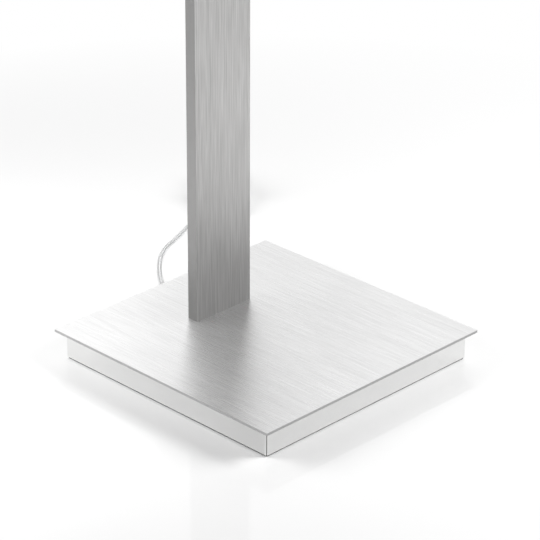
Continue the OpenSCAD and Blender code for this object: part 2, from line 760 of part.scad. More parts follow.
module cord_gland() color(clear)
    translate([gland_offset, plinth_inner / 2 - gland_inner, gland_height]) rotate([-90, 0, 0])
        rotate_extrude() {
            outside = gland_inner + sheet_thickness;
            base_radius = 5.8;
            tip_radius = 3.8;
            taper = relief_length - 2;
            ribs = 5;
            polygon(concat(
                [[0, 0], [gland_flange / 2, 0], [gland_flange / 2, gland_inner],
                    [gland_neck / 2, gland_inner], [gland_neck / 2, outside],
                    [gland_flange / 2, outside], [gland_flange / 2, outside + 2]],
                [for (k = [0 : ribs - 1])
                    let (a = k / ribs, b = (k + 0.55) / ribs,
                        wide = base_radius - (base_radius - tip_radius) * a,
                        narrow = base_radius - (base_radius - tip_radius) * b)
                    each [[wide, outside + 2 + taper * a], [narrow, outside + 2 + taper * b],
                        [narrow - 0.7, outside + 2 + taper * b],
                        [narrow - 0.7, outside + 2 + taper * (k + 1) / ribs]]],
                [[0, outside + 2 + taper]]));
        }

// ------------------------------------------------------------------ column

module column_section() {
    pocket = channel_offset - rib_width / 2;
    side_start = channel_offset + rib_width / 2;
    side_end = column_width / 2 - column_wall;
    difference() {
        rounded([column_width, column_thickness], column_edge);
        square([2 * pocket, column_inside], center = true);
        for (x = [-1, 1]) {
            translate([x * (side_start + side_end) / 2, 0])
                square([side_end - side_start, column_inside], center = true);
            translate([x * channel_offset, 0]) circle(d = channel_bore);
        }
    }
}

module column_profile() color(brushed) difference() {
    translate([0, column_setback, column_bottom]) linear_extrude(column_length) column_section();
    along_y([0, front_face - cut, dimmer_height], bezel_barrel + 2 * hole_gap, column_wall + 2 * cut);
}

module column_cable() color(black) {
    y = column_setback;
    driver_face = bay_centre - driver_width / 2;
    start = [[cable_exit_x, driver_face - end_gap, cable_exit_z]];
    below = smooth([[cable_exit_x, driver_face - 2, cable_exit_z],
        [cable_exit_x, driver_face - 4, cable_exit_z],
        [cable_exit_x + 1, driver_face - 8, cable_exit_z - 1.5],
        [cable_exit_x + 4.5, y + 7.8, cable_exit_z - 3.8], [cable_exit_x + 10, y + 2.8, cable_exit_z - 4.8],
        [cable_exit_x + 15, y + 0.5, cable_exit_z - 3.6], [-1.6, y, cable_exit_z + 0.4],
        [0, y, cable_exit_z + 6.8]], 3);
    insert_bottom = column_top - insert_depth;
    above = [[0, y, plate_bottom], [0, y, base_height + cable_bend[0]],
        [cable_side / 2, y, base_height + cable_bend[1]], [cable_side, y, base_height + cable_bend[2]],
        [cable_side, y, dimmer_height + cable_past_dimmer],
        [cable_side / 2, y, insert_bottom - cable_gather[0]],
        [0, y, insert_bottom - cable_gather[1]], [0, y, insert_bottom - cable_gather[2]],
        [0, y, axis_height - 1]];
    tube(concat(start, below, above), round_section(cable_diameter, 8), reference = [0.36, 0.93, -0.07]);
}

// ------------------------------------------------------------------ dimmer

module dimmer_bezel() color(polished)
    translate([0, bezel_front, dimmer_height]) rotate([-90, 0, 0]) difference() {
        union() {
            cylinder(d = bezel_flange, h = bezel_thickness);
            cylinder(d = bezel_barrel, h = bezel_thickness + bezel_depth);
        }
        translate([0, 0, -cut])
            cylinder(d = button_diameter + 4 * running, h = bezel_thickness + bezel_depth + 2 * cut);
        translate([0, 0, rim_front - bezel_front - seat_gap])
            cylinder(d = button_diameter + 2 * button_rim + 2 * seat_gap, h = bezel_depth + 2 * cut);
    }

module dimmer_button() color(brushed)
    translate([0, 0, dimmer_height]) {
        along_y([0, button_front, 0], button_diameter, button_rear - button_front);
        along_y([0, rim_front, 0], button_diameter + 2 * button_rim, rim_thickness);
        along_y([0, button_rear, 0], stem_diameter, stem_end - button_rear);
    }

module dimmer_spring() color(zinc) {
    length = dimmer_board_front - button_rear;
    start = button_rear + spring_wire / 2;
    rise = length - spring_wire;
    steps = 8 * spring_turns;
    path = [for (k = [0 : steps])
        [spring_mean_radius * cos(45 * k), start + rise * k / steps,
            dimmer_height + spring_mean_radius * sin(45 * k)]];
    tube(path, round_section(spring_wire, 6), reference = [0, 1, 0]);
}

module dimmer_switch() color(black)
    translate([0, 0, dimmer_height]) {
        translate([-switch_side / 2, dimmer_board_front - switch_height, -switch_side / 2])
            cube([switch_side, switch_height, switch_side]);
        along_y([0, dimmer_board_front - switch_height - plunger_height, 0], plunger_diameter,
            plunger_height);
    }

module dimmer_board() color(board_green)
    translate([-dimmer_board_size.x / 2, dimmer_board_front, dimmer_height - dimmer_board_size.y / 2])
        cube([dimmer_board_size.x, dimmer_board_thickness, dimmer_board_size.y]);

module dimmer_carrier() color(black)
    translate([-dimmer_carrier_size.x / 2, carrier_front, dimmer_height - dimmer_carrier_size.y / 2])
        cube([dimmer_carrier_size.x, carrier_thickness, dimmer_carrier_size.y]);

module dimmer_leads() color("#a33a36") {
    y = dimmer_board_front + dimmer_board_thickness / 2;
    low = dimmer_height - dimmer_board_size.y / 2;
    tube(smooth([[8, y, low], [8, y, low - 3], [8.5, y - 0.5, low - 10], [10.5, y - 1.5, low - 18],
        [13, column_setback, low - 26],
        [cable_side - cable_diameter / 2 - 0.7, column_setback, low - 34]], 2),
        round_section(dimmer_lead, 6), reference = [0, 1, 0]);
}

// ------------------------------------------------------------------ hinge

module column_knuckle() color(brushed) {
    pocket = 2 * (channel_offset - rib_width / 2) - 2 * seat_gap;
    difference() {
        union() {
            translate([-pocket / 2, column_setback - column_inside / 2 + seat_gap, column_top - insert_depth])
                cube([pocket, column_inside - 2 * seat_gap, insert_depth]);
            translate([0, column_setback, column_top]) linear_extrude(shoulder_thickness)
                rounded([column_width, column_thickness], column_edge);
            translate([-knuckle_width / 2, column_setback - neck_thickness / 2, shoulder_top])
                cube([knuckle_width, neck_thickness, axis_height - shoulder_top]);
            along_x([-knuckle_width / 2, column_setback, axis_height], barrel_diameter, knuckle_width);
        }
        along_x([-knuckle_width / 2 - cut, column_setback, axis_height], axle_diameter + 2 * running,
            knuckle_width + 2 * cut);
        translate([0, column_setback, column_top - insert_depth - cut])
            cylinder(d = knuckle_cable_bore, h = axis_height - column_top + insert_depth + cut);
        for (x = [-1, 1])
            translate([x * channel_offset, column_setback, shoulder_top])
                countersink(column_screw + 2 * hole_gap, knuckle_screw_head + 2 * hole_gap,
                    shoulder_thickness + cut);
        along_y([knuckle_width / 4, column_setback, axis_height], set_screw_diameter + 2 * thread_gap,
            barrel_diameter);
    }
}

module knuckle_screws() color(zinc)
    for (x = [-1, 1])
        translate([x * channel_offset, column_setback, shoulder_top - head_sink]) difference() {
            countersunk(column_screw, knuckle_screw_head, knuckle_screw_length);
            translate([0, 0, -knuckle_socket[1]])
                cylinder(d = knuckle_socket[0], h = knuckle_socket[1] + cut, $fn = 6);
        }

module hinge_axle() color(zinc) difference() {
    along_x([-cap_inner, column_setback, axis_height], axle_diameter, 2 * cap_inner);
    along_x([-cap_inner - cut, column_setback, axis_height], axle_bore, 2 * cap_inner + 2 * cut);
    // the cable comes up into the axle here
    translate([0, column_setback, axis_height - axle_diameter])
        cylinder(d = knuckle_cable_bore, h = axle_diameter);
    // and leaves it through a window that is wide enough for the head's whole swing
    translate([axle_window[0], column_setback, axis_height]) rotate([-window_turn, 0, 0])
        translate([0, -axle_diameter, -axle_diameter])
            cube([axle_window[1] - axle_window[0], axle_diameter + window_past, 2 * axle_diameter]);
}

module axle_set_screw() color(zinc)
    along_y([knuckle_width / 4, column_setback + axle_diameter / 2 + running, axis_height],
        set_screw_diameter, barrel_diameter / 2 - axle_diameter / 2 - running - seat_gap);

module hinge_bushes() color(black)
    for (x = [-ear_outer, -ear_inner - bush_length, ear_inner, ear_outer - bush_length])
        difference() {
            along_x([x, column_setback, axis_height], axle_diameter + 2 * running + 2 * bush_wall,
                bush_length);
            along_x([x - cut, column_setback, axis_height], axle_diameter + 2 * running,
                bush_length + 2 * cut);
        }

module friction_washers() color("#8a8f6a")
    for (x = [-knuckle_width / 2 - side_gap - washer_thickness, knuckle_width / 2 + side_gap])
        difference() {
            along_x([x, column_setback, axis_height], barrel_diameter - 2 * washer_rebate, washer_thickness);
            along_x([x - cut, column_setback, axis_height], axle_diameter + 2 * running,
                washer_thickness + 2 * cut);
        }

module axle_caps() color(polished)
    for (side = [-1, 1])
        difference() {
            union() {
                along_x([side > 0 ? cap_inner : -column_width / 2, column_setback, axis_height],
                    barrel_diameter - 2 * cap_rebate, cap_thickness);
                along_x([side > 0 ? cap_inner - cap_spigot : -cap_inner, column_setback, axis_height],
                    axle_bore - 2 * thread_gap, cap_spigot);
            }
            along_x([side > 0 ? column_width / 2 - cap_socket[1] : -column_width / 2 - cut, column_setback,
                axis_height], cap_socket[0], cap_socket[1] + cut, $fn = 6);
        }

// ------------------------------------------------------------------ head

module head_bracket() color(zinc) difference() {
    union() {
        translate([-bracket_half, bracket_front, bracket_bottom])
            cube([2 * bracket_half, bracket_length, bracket_top - bracket_bottom]);
        for (side = [-1, 1]) {
            from = side > 0 ? ear_inner : -ear_outer;
            translate([from, head_rear, axis_height - arm_height / 2])
                cube([ear_outer - ear_inner, column_setback - head_rear, arm_height]);
            along_x([from, column_setback, axis_height], barrel_diameter, ear_outer - ear_inner);
            translate([side > 0 ? ear_inner : -bracket_half, head_rear - web[0], bracket_bottom])
                cube([bracket_half - ear_inner, web[1], bracket_top - bracket_bottom]);
        }
    }
    for (side = [-1, 1]) {
        from = side > 0 ? ear_inner : -ear_outer;
        along_x([from - cut, column_setback, axis_height],
            axle_diameter + 2 * running + 2 * bush_wall + 2 * running, ear_outer - ear_inner + 2 * cut);
    }
    along_y([cable_lane, bracket_front - cut, axis_height], knuckle_cable_bore,
        column_setback - bracket_front + cut);
    for (x = [-1, 1], y = bracket_screw_y)
        translate([x * bracket_screw_x, y, bracket_bottom - cut])
            cylinder(d = bracket_thread, h = bracket_top - bracket_bottom + 2 * cut);
}

module bracket_screws() color(zinc)
    for (x = [-1, 1], y = bracket_screw_y)
        translate([x * bracket_screw_x, y, head_top - flush_gap]) difference() {
            countersunk(bracket_screw[0], bracket_screw[1], bracket_screw[2]);
            translate([0, 0, -bracket_socket[1]])
                cylinder(d = bracket_socket[0], h = bracket_socket[1] + cut, $fn = 6);
        }

module head_section() {
    inner = column_width - 2 * head_wall;
    difference() {
        union() {
            difference() {
                rounded([column_width, head_thickness], column_edge);
                translate([-inner / 2, diffuser_bottom - axis_height])
                    square([inner, head_inner_top - diffuser_bottom]);
                translate([-inner / 2 + lip_width, -head_thickness])
                    square([inner - 2 * lip_width, head_thickness]);
            }
            for (x = [-1, 1]) translate([x * corner_x, corner_z - axis_height]) circle(d = corner_boss);
        }
        for (x = [-1, 1]) translate([x * corner_x, corner_z - axis_height]) circle(d = corner_bore);
    }
}

module head_housing() color(brushed) difference() {
    translate([0, head_rear, axis_height]) rotate([90, 0, 0]) linear_extrude(head_length) head_section();
    for (x = [-1, 1], y = bracket_screw_y)
        translate([x * bracket_screw_x, y, head_top])
            countersink(bracket_screw[0] + hole_gap, bracket_screw[1] + 0.4, head_wall + cut);
}

module head_end_cap() color(brushed) difference() {
    translate([0, head_front, axis_height]) rotate([90, 0, 0]) linear_extrude(cap_thickness)
        rounded([column_width, head_thickness], column_edge);
    for (x = [-1, 1])
        translate([x * corner_x, head_front - cap_thickness, corner_z]) rotate([90, 0, 0])
            countersink(end_screw[0] + 0.4, end_screw[1] + 0.4, cap_thickness + cut);
}

module end_cap_screws() color(zinc)
    for (x = [-1, 1])
        translate([x * corner_x, head_front - cap_thickness + flush_gap, corner_z])
            rotate([90, 0, 0]) difference() {
                countersunk(end_screw[0], end_screw[1], end_screw[2]);
                translate([0, 0, -end_socket[1]])
                    cylinder(d = end_socket[0], h = end_socket[1] + cut, $fn = 6);
            }

function board_screw_places() = [
    for (k = [0 : 2], x = [-1, 1])
        [x * (led_board_half - board_screw_margin.x), led_board_rear - board_screw_margin.y
            - k * (led_board_rear - led_board_front - 2 * board_screw_margin.y) / 2]];

module heat_spreader() color(zinc) difference() {
    translate([-spreader_half, spreader_front, spreader_bottom])
        cube([2 * spreader_half, spreader_rear - spreader_front, spreader_thickness]);
    for (p = board_screw_places())
        translate([p.x, p.y, spreader_bottom - cut])
            cylinder(d = board_screw + 2 * thread_gap, h = spreader_thickness + 2 * cut);
}

module led_board() color(white) difference() {
    translate([-led_board_half, led_board_front, led_board_bottom])
        cube([2 * led_board_half, led_board_rear - led_board_front, board_thickness]);
    for (p = board_screw_places())
        translate([p.x, p.y, led_board_bottom - cut])
            cylinder(d = board_screw + 2 * seat_gap, h = board_thickness + 2 * cut);
}

module led_chips() color("#f0d77a") {
    first = led_board_rear - led_margin[0];
    pitch = (first - led_board_front - led_margin[1]) / (leds_per_row - 1);
    for (x = [-1, 1], k = [0 : leds_per_row - 1])
        translate([x * led_row_x - led_size.x / 2, first - k * pitch - led_size.y / 2,
            led_board_bottom - led_size.z]) cube(led_size);
}

module board_screws() color(zinc)
    for (p = board_screw_places())
        translate([p.x, p.y, led_board_bottom]) {
            translate([0, 0, -board_screw_head[1]])
                cylinder(d = board_screw_head[0], h = board_screw_head[1]);
            cylinder(d = board_screw, h = board_thickness + spreader_thickness - hole_gap);
        }

module led_connector() color(white)
    translate([connector_x - connector_size.x / 2, led_board_rear - 1 - connector_size.y,
        led_board_bottom - connector_size.z]) cube(connector_size);

module head_cable() color(black) {
    y = column_setback;
    z = axis_height;
    board_end = led_board_rear - 1;
    drop = led_board_bottom - connector_size.z / 2;
    line = smooth([[2.6, y, z], [8, y, z], [14, y, z], [cable_lane - 6, y - 0.3, z],
        [cable_lane - 2, y - 2, z], [cable_lane, y - 6, z], [cable_lane, y - 12, z],
        [cable_lane, bracket_front + 8, z], [cable_lane, bracket_front + 1, z],
        [cable_lane + 0.2, bracket_front - 1, z - 0.3], [connector_x, board_end + 2, drop],
        [connector_x, board_end + 1, drop]], 2);
    tube(concat(line, [[connector_x, board_end + end_gap, drop]]), round_section(min(cable_diameter, 3), 8));
}

module diffuser() color("#fbfaf6")
    translate([-(column_width / 2 - head_wall - seat_gap), head_front + seat_gap, diffuser_bottom])
        cube([column_width - 2 * head_wall - 2 * seat_gap, head_length - seat_gap, diffuser_thickness]);

// ------------------------------------------------------------------ cord

function eased(t) = (1 - cos(180 * t)) / 2;

function hank_radius(k) = hank_fold + hank_step / hank_rings
    * (k < hank_climb ? hank_climb - k : k > hank_climb + 4 ? k - hank_climb - 4 : 0);

function hank_level(k) = cord_width / 2
    + layer_step * eased(min(max((k - hank_climb) / 4, 0), 1));

// A point of the hank's line in its own frame
function hank_point(k) =
    let (j = k % hank_rings, r = hank_radius(k), z = hank_level(k),
        run = j < 4 ? j / 4 : j >= 12 && j < 16 ? (j - 12) / 4 : 0,
        drawn = (1 - cos(360 * run)) / 2, v = r - hank_waist * drawn, lift = z + waist_lift * drawn)
    j < 4 ? [-hank_run / 2 + hank_run * run, v, lift]
    : j < 12 ? let (a = (j - 4) * 22.5) [hank_run / 2 + r * sin(a), r * cos(a), z]
    : j < 16 ? [hank_run / 2 - hank_run * run, -v, lift]
    : let (a = (j - 16) * 22.5) [-hank_run / 2 - r * sin(a), -r * cos(a), z];

hank_line = concat([for (k = [0 : hank_last]) hank_point(k)], tail_route);
hank_turns = concat([for (k = [0 : hank_last]) 90], tail_turn);
hank_entry = let (p = hank_point(0))
    [hank_at.x + p.x * cos(hank_angle) - p.y * sin(hank_angle),
        hank_at.y + p.x * sin(hank_angle) + p.y * cos(hank_angle), p.z];
hank_heading = [cos(hank_angle), sin(hank_angle), 0];

// The least gap between two stretches of the hank that are over half a loop apart along it
function finer(path, steps) = [
    for (i = [0 : len(path) - 2], j = [0 : steps - 1]) path[i] + (path[i + 1] - path[i]) * j / steps];
function apart(a, b) = norm([max(norm([a.x - b.x, a.y - b.y]) - cord_thickness, 0),
    max(abs(a.z - b.z) - cord_width, 0)]);
function least_gap(path, skip) = min([
    for (i = [0 : len(path) - skip - 1], j = [i + skip : len(path) - 1]) apart(path[i], path[j])]);

module in_hank() translate([hank_at.x, hank_at.y, 0]) rotate(hank_angle) children();

module cord_run() color(clear) {
    steps = 2;
    entry = [for (back = [2 * cord_width, cord_width, join_gap]) hank_entry - back * hank_heading];
    tube(smooth(concat(cord_route, entry), steps), flat_section(cord_width, cord_thickness, 10),
        [for (t = smooth([for (a = concat(cord_turn, [88, 90, 90])) [a, 0, 0]], steps)) t.x]);
}

module cord_hank() color(clear) {
    echo(least_gap_of_hank = least_gap(finer(hank_line, 3), 36));
    in_hank() tube(hank_line, flat_section(cord_width, cord_thickness, 6), hank_turns);
}

module hank_tie() color(black) in_hank() {
    height = layer_step + cord_width + 2 * (waist_lift - tie_thickness);
    left = hank_fold + hank_loops * hank_step - hank_waist * tie_reach + cord_thickness / 2;
    right = left - hank_step / 2;
    width = left + right;
    translate([-tie_width / 2, (left - right) / 2, height / 2 + tie_thickness])
        rotate([90, 0, 90]) linear_extrude(tie_width) difference() {
            rounded([width + 2 * tie_thickness, height + 2 * tie_thickness], tie_corner[0]);
            rounded([width, height], tie_corner[1]);
        }
}

module plug_relief() color(clear) in_hank()
    translate(plug_place) rotate([0, -90, 0]) rotate_extrude() {
        ribs = 4;
        tip_radius = 3.7;
        base_radius = 5.6;
        polygon(concat([[0, 0]],
            [for (k = [0 : ribs - 1])
                let (a = k / ribs, b = (k + 0.55) / ribs,
                    narrow = tip_radius + (base_radius - tip_radius) * a,
                    wide = tip_radius + (base_radius - tip_radius) * b)
                each [[narrow, tail_relief * a], [wide, tail_relief * b], [wide - 0.6, tail_relief * b],
                    [wide - 0.6, tail_relief * (k + 1) / ribs]]],
            [[0, tail_relief]]));
    }

// Outline of the plug seen from above, from the relief towards the pins
module plug_outline() {
    hull()
        for (p = [[plug_corner, plug_neck / 2 - plug_corner], [plug_full, plug_reach],
                [plug_length - plug_corner, plug_reach]], side = [-1, 1])
            translate([p.x, side * p.y]) circle(plug_corner, $fn = 32);
}

module plug_body() color(clear) in_hank()
    translate([plug_place.x - tail_relief, plug_place.y, plug_place.z]) rotate([0, 0, 180])
        intersection() {
            translate([0, 0, -plug_thickness / 2]) linear_extrude(plug_thickness) plug_outline();
            rotate([0, 90, 0]) linear_extrude(plug_length) rounded([plug_thickness, plug_width], plug_edge);
        }

module plug_pins() color(brass_tone) in_hank()
    for (side = [-1, 1])
        translate([plug_place.x - tail_relief - plug_length, plug_place.y + side * pin_spacing / 2,
            plug_place.z])
            rotate([0, -90, 0]) rotate_extrude() {
                square([pin_diameter / 2, pin_length - pin_diameter / 2]);
                intersection() {
                    translate([0, pin_length - pin_diameter / 2]) circle(pin_diameter / 2);
                    translate([0, pin_length - pin_diameter / 2]) square(pin_diameter);
                }
            }

// ------------------------------------------------------------------ the lamp

top_plate();
plate_studs();
plinth_frame();
flange_nuts();
ballast_plate();
ballast_nuts();
floor_mat();
base_cover();
cover_spacers();
cover_screws();
column_screws();
column_washers();
cable_grommet();
driver_case();
driver_lid();
driver_board();
driver_nuts();
terminal_block();
primary_leads();
clamp_block();
clamp_bar();
clamp_screws();
mains_tail();
cord_gland();
column_profile();
column_cable();
dimmer_bezel();
dimmer_button();
dimmer_spring();
dimmer_switch();
dimmer_board();
dimmer_carrier();
dimmer_leads();
column_knuckle();
knuckle_screws();
hinge_axle();
axle_set_screw();
hinge_bushes();
friction_washers();
axle_caps();
head_bracket();
bracket_screws();
head_housing();
head_end_cap();
end_cap_screws();
heat_spreader();
led_board();
led_chips();
board_screws();
led_connector();
head_cable();
diffuser();
cord_run();
cord_hank();
hank_tie();
plug_relief();
plug_body();
plug_pins();
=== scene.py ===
"""Floor lamp: camera, finishes, clear flat cord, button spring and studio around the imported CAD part."""

import json
import math

import bmesh
import bpy
import numpy as np
from mathutils import Matrix, Vector


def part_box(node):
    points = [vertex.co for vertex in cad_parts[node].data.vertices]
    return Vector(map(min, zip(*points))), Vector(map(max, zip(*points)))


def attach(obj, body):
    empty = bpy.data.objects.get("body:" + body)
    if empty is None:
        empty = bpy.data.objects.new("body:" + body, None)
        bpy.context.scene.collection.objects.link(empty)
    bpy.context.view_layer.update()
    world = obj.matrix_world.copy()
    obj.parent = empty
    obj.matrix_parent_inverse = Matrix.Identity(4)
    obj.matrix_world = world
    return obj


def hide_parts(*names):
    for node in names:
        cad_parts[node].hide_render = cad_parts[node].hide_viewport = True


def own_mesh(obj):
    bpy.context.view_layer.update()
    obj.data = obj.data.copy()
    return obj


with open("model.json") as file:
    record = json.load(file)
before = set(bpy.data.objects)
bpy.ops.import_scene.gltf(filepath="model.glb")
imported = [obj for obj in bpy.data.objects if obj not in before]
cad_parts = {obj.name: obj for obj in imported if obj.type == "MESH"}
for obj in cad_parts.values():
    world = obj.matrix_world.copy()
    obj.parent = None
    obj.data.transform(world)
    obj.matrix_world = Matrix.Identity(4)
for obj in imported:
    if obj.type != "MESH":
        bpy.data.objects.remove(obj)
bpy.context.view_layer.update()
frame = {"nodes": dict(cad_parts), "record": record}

SCENE = bpy.context.scene
MM = 0.001
X, Y, Z = 0, 1, 2
WHITE = (1, 1, 1, 1)

# ---------------------------------------------------------------- camera

CAMERA_AT = (-1.71173, -1.69427, 1.26439)
CAMERA_AZIMUTH = math.radians(-45.384)
CAMERA_ELEVATION = math.radians(25.711)
CAMERA_ROLL = math.radians(0.296)
CAMERA_LENS = 168.53


def make_camera():
    az, el = CAMERA_AZIMUTH, CAMERA_ELEVATION
    back = Vector((math.sin(az) * math.cos(el), -math.cos(az) * math.cos(el), math.sin(el)))
    right = Vector((math.cos(az), math.sin(az), 0))
    up = back.cross(right)
    c, s = math.cos(CAMERA_ROLL), math.sin(CAMERA_ROLL)
    turned_right, turned_up = c * right + s * up, c * up - s * right
    data = bpy.data.cameras.new("camera")
    data.lens = CAMERA_LENS
    data.sensor_width = 36
    data.clip_start, data.clip_end = 0.05, 200
    camera = bpy.data.objects.new("camera", data)
    camera.matrix_world = (
        Matrix.Translation(CAMERA_AT) @ Matrix((turned_right, turned_up, back)).transposed().to_4x4()
    )
    SCENE.collection.objects.link(camera)
    SCENE.camera = camera


make_camera()

# ---------------------------------------------------------------- node helpers


class Shader:
    """The node tree of a material or the world, its owner, built by small calls."""

    def __init__(self, name, world=False):
        self.owner = (bpy.data.worlds if world else bpy.data.materials).new(name)
        self.owner.use_nodes = True
        self.tree = self.owner.node_tree
        self.tree.nodes.clear()
        self.output = self.node("OutputWorld" if world else "OutputMaterial")
        self.place = None

    def node(self, kind, settings=None, **inputs):
        """A new node. An input is named, or given by its number after an underscore."""
        n = self.tree.nodes.new("ShaderNode" + kind)
        for key, value in (settings or {}).items():
            setattr(n, key, value)
        for key, value in inputs.items():
            self.put(n.inputs[int(key[1:]) if key[0] == "_" else key.replace("_", " ")], value)
        return n

    def put(self, socket, value):
        if isinstance(value, bpy.types.NodeSocket):
            self.tree.links.new(value, socket)
        else:
            socket.default_value = value

    def coordinates(self, scale=(1, 1, 1)):
        """The piece's own coordinates in metres, stretched."""
        if self.place is None:
            self.place = self.node("TexCoord").outputs["Object"]
        return self.node("Mapping", Vector=self.place, Scale=scale).outputs[0]

    def noise(self, scale, stretch=(1, 1, 1), detail=2.0, rough=0.5, distortion=0.0):
        """A noise from 0 to 1 with that many cells a metre."""
        where = self.coordinates(tuple(scale * s for s in stretch))
        values = {"Scale": 1.0, "Detail": detail, "Roughness": rough, "Distortion": distortion}
        return self.node("TexNoise", Vector=where, **values).outputs["Fac"]

    def math(self, operation, a, b=0.0):
        return self.node("Math", {"operation": operation}, _0=a, _1=b).outputs[0]

    def vector(self, operation, a, **second):
        return self.node("VectorMath", {"operation": operation}, _0=a, **second).outputs

    def spread(self, value, low, high, source=(0.3, 0.7), curve="LINEAR"):
        """Maps value from the source range to low..high."""
        settings = {"interpolation_type": curve}
        return self.node("MapRange", settings, _0=value, _1=source[0], _2=source[1], _3=low, _4=high).outputs[0]

    def blend(self, factor, a, b):
        return self.node("Mix", {"data_type": "RGBA"}, Factor=factor, _6=a, _7=b).outputs[2]

    def bump(self, height, strength, distance):
        return self.node("Bump", Height=height, Strength=strength, Distance=distance).outputs[0]

    def axis(self, direction):
        """A direction of the piece, which turns with it."""
        settings = {"vector_type": "VECTOR", "convert_from": "OBJECT", "convert_to": "WORLD"}
        return self.node("VectorTransform", settings, _0=direction).outputs[0]

    def seen(self):
        """1 for what the camera sees, straight or in metal and glass."""
        path = self.node("LightPath").outputs
        mirrored = self.math("MAXIMUM", path["Is Glossy Ray"], path["Is Transmission Ray"])
        return self.math("MAXIMUM", path["Is Camera Ray"], mirrored)

    def surface(self, node):
        """Puts a node on the output."""
        self.put(self.output.inputs["Surface"], node.outputs[0])

    def principled(self, **inputs):
        n = self.node("BsdfPrincipled", **inputs)
        self.surface(n)
        return n


def grey(value, warmth=0.0):
    """A linear grey, a little warm or cool."""
    return (value * (1 + warmth), value, value * (1 - warmth), 1)


def shade(colour, factor):
    """The colour made lighter or darker."""
    return tuple(min(1.0, c * factor) for c in colour[:3]) + (1,)


# ---------------------------------------------------------------- materials


def brushed(name, colour, grain, broad, roughness, side, contrast, anisotropy=0.75, metal=1.0):
    """Metal with fine parallel scratches along its grain; only the faces across the broad axis are bright, the
    others carry painted shade at the side factor.
    """
    m = Shader(name)

    def lines(across, along, detail=1):
        return m.noise(1, [along if axis == grain else across for axis in (X, Y, Z)], detail=detail, rough=0.6)

    fine, middle, wide, hairs = lines(1100, 24, 2), lines(620, 12), lines(70, 3), lines(2600, 30)
    cloud = m.noise(7, detail=1)
    mixed = m.math("ADD", m.math("MULTIPLY", fine, 0.45), m.math("MULTIPLY", middle, 0.5))
    mixed = m.math("ADD", mixed, m.math("MULTIPLY", wide, 0.05))
    mixed = m.spread(mixed, 0, 1, (0.36, 0.64))
    tone = m.blend(mixed, shade(colour, 1 - contrast), shade(colour, 1 + contrast))
    # painted shade: the narrow sides are darkened to the side factor, for the light they catch less of than the
    # broad faces
    normal = m.node("TexCoord").outputs["Normal"]
    facing = m.math("ABSOLUTE", m.node("SeparateXYZ", Vector=normal).outputs[broad])
    tone = m.blend(m.spread(facing, 0, 1, (0.5, 0.8)), shade(colour, side), tone)
    rough = m.math("ADD", m.spread(hairs, roughness - 0.05, roughness + 0.05), m.spread(cloud, -0.02, 0.02))
    # a little off the grain, so that it never lies straight along a face's normal
    direction = [0.02, 0.02, 0.02]
    direction[grain] = 1.0
    m.principled(
        Base_Color=tone,
        Metallic=metal,
        Roughness=rough,
        Anisotropic=anisotropy,
        Anisotropic_Rotation=0.25,
        Tangent=m.axis(direction),
        Normal=m.bump(m.math("ADD", m.math("MULTIPLY", hairs, 0.5), fine), strength=0.25, distance=0.00004),
    )
    return m.owner


def turned(name, colour, roughness, middle):
    """Metal faced on a lathe: fine rings about the Y axis through its middle."""
    m = Shader(name)
    offset = m.vector("SUBTRACT", m.coordinates(), _1=middle)[0]
    flat = m.vector("MULTIPLY", offset, _1=(1, 0, 1))[0]
    reach = m.vector("LENGTH", flat)["Value"]
    rings = m.node("TexNoise", {"noise_dimensions": "1D"}, W=reach, Scale=4000.0, Detail=2.0).outputs["Fac"]
    m.principled(
        Base_Color=m.blend(m.spread(rings, 0, 1), shade(colour, 0.9), shade(colour, 1.1)),
        Metallic=1.0,
        Roughness=m.spread(rings, roughness - 0.06, roughness + 0.06),
        Normal=m.bump(rings, strength=0.3, distance=0.00004),
    )
    return m.owner


def polished(name, colour, roughness):
    """Mirror-bright plate, with faint wipe marks in its gloss."""
    m = Shader(name)
    wipes = m.noise(30, (1, 1, 3), detail=3, rough=0.6, distortion=0.8)
    dust = m.noise(900, detail=1)
    m.principled(
        Base_Color=m.blend(m.spread(wipes, 0, 1), shade(colour, 0.97), colour),
        Metallic=1.0,
        Roughness=m.math("ADD", m.spread(wipes, roughness * 0.6, roughness * 1.5), m.spread(dust, 0, 0.01)),
        Normal=m.bump(m.noise(45, detail=0), strength=0.05, distance=0.0002),
    )
    return m.owner


def cast(name, colour, roughness=0.45, grain=700, bump=0.35):
    """Metal with a fine blasted or cast skin."""
    m = Shader(name)
    skin = m.noise(grain, detail=3, rough=0.65)
    cloud = m.noise(25)
    m.principled(
        Base_Color=m.blend(m.spread(cloud, 0, 1), shade(colour, 0.88), shade(colour, 1.06)),
        Metallic=1.0,
        Roughness=m.spread(skin, roughness - 0.08, roughness + 0.1),
        Normal=m.bump(skin, strength=bump, distance=0.00008),
    )
    return m.owner


def zinc(name, colour):
    """Zinc plating: bright, with a faint coloured cast and turning marks."""
    m = Shader(name)
    cloud = m.noise(260)
    spangle = m.node("TexVoronoi", Vector=m.coordinates(), Scale=900.0).outputs["Distance"]
    cast_tone = (colour[0] * 1.05, colour[1] * 1.04, colour[2], 1)
    m.principled(
        Base_Color=m.blend(m.spread(cloud, 0, 1), shade(colour, 0.86), cast_tone),
        Metallic=1.0,
        Roughness=m.spread(spangle, 0.24, 0.36, (0, 0.8)),
        Normal=m.bump(spangle, strength=0.1, distance=0.00004),
    )
    return m.owner


def moulded(name, colour, roughness=0.45, grain=2200, bump=0.25):
    """Plastic with the fine spark texture of its mould."""
    m = Shader(name)
    spark = m.noise(grain, rough=0.6)
    flow = m.noise(35, (1, 1, 2), distortion=0.6)
    m.principled(
        Base_Color=m.blend(m.spread(flow, 0, 1), shade(colour, 0.94), shade(colour, 1.05)),
        Roughness=m.spread(spark, roughness - 0.08, roughness + 0.08),
        Normal=m.bump(spark, strength=bump, distance=0.00005),
    )
    return m.owner


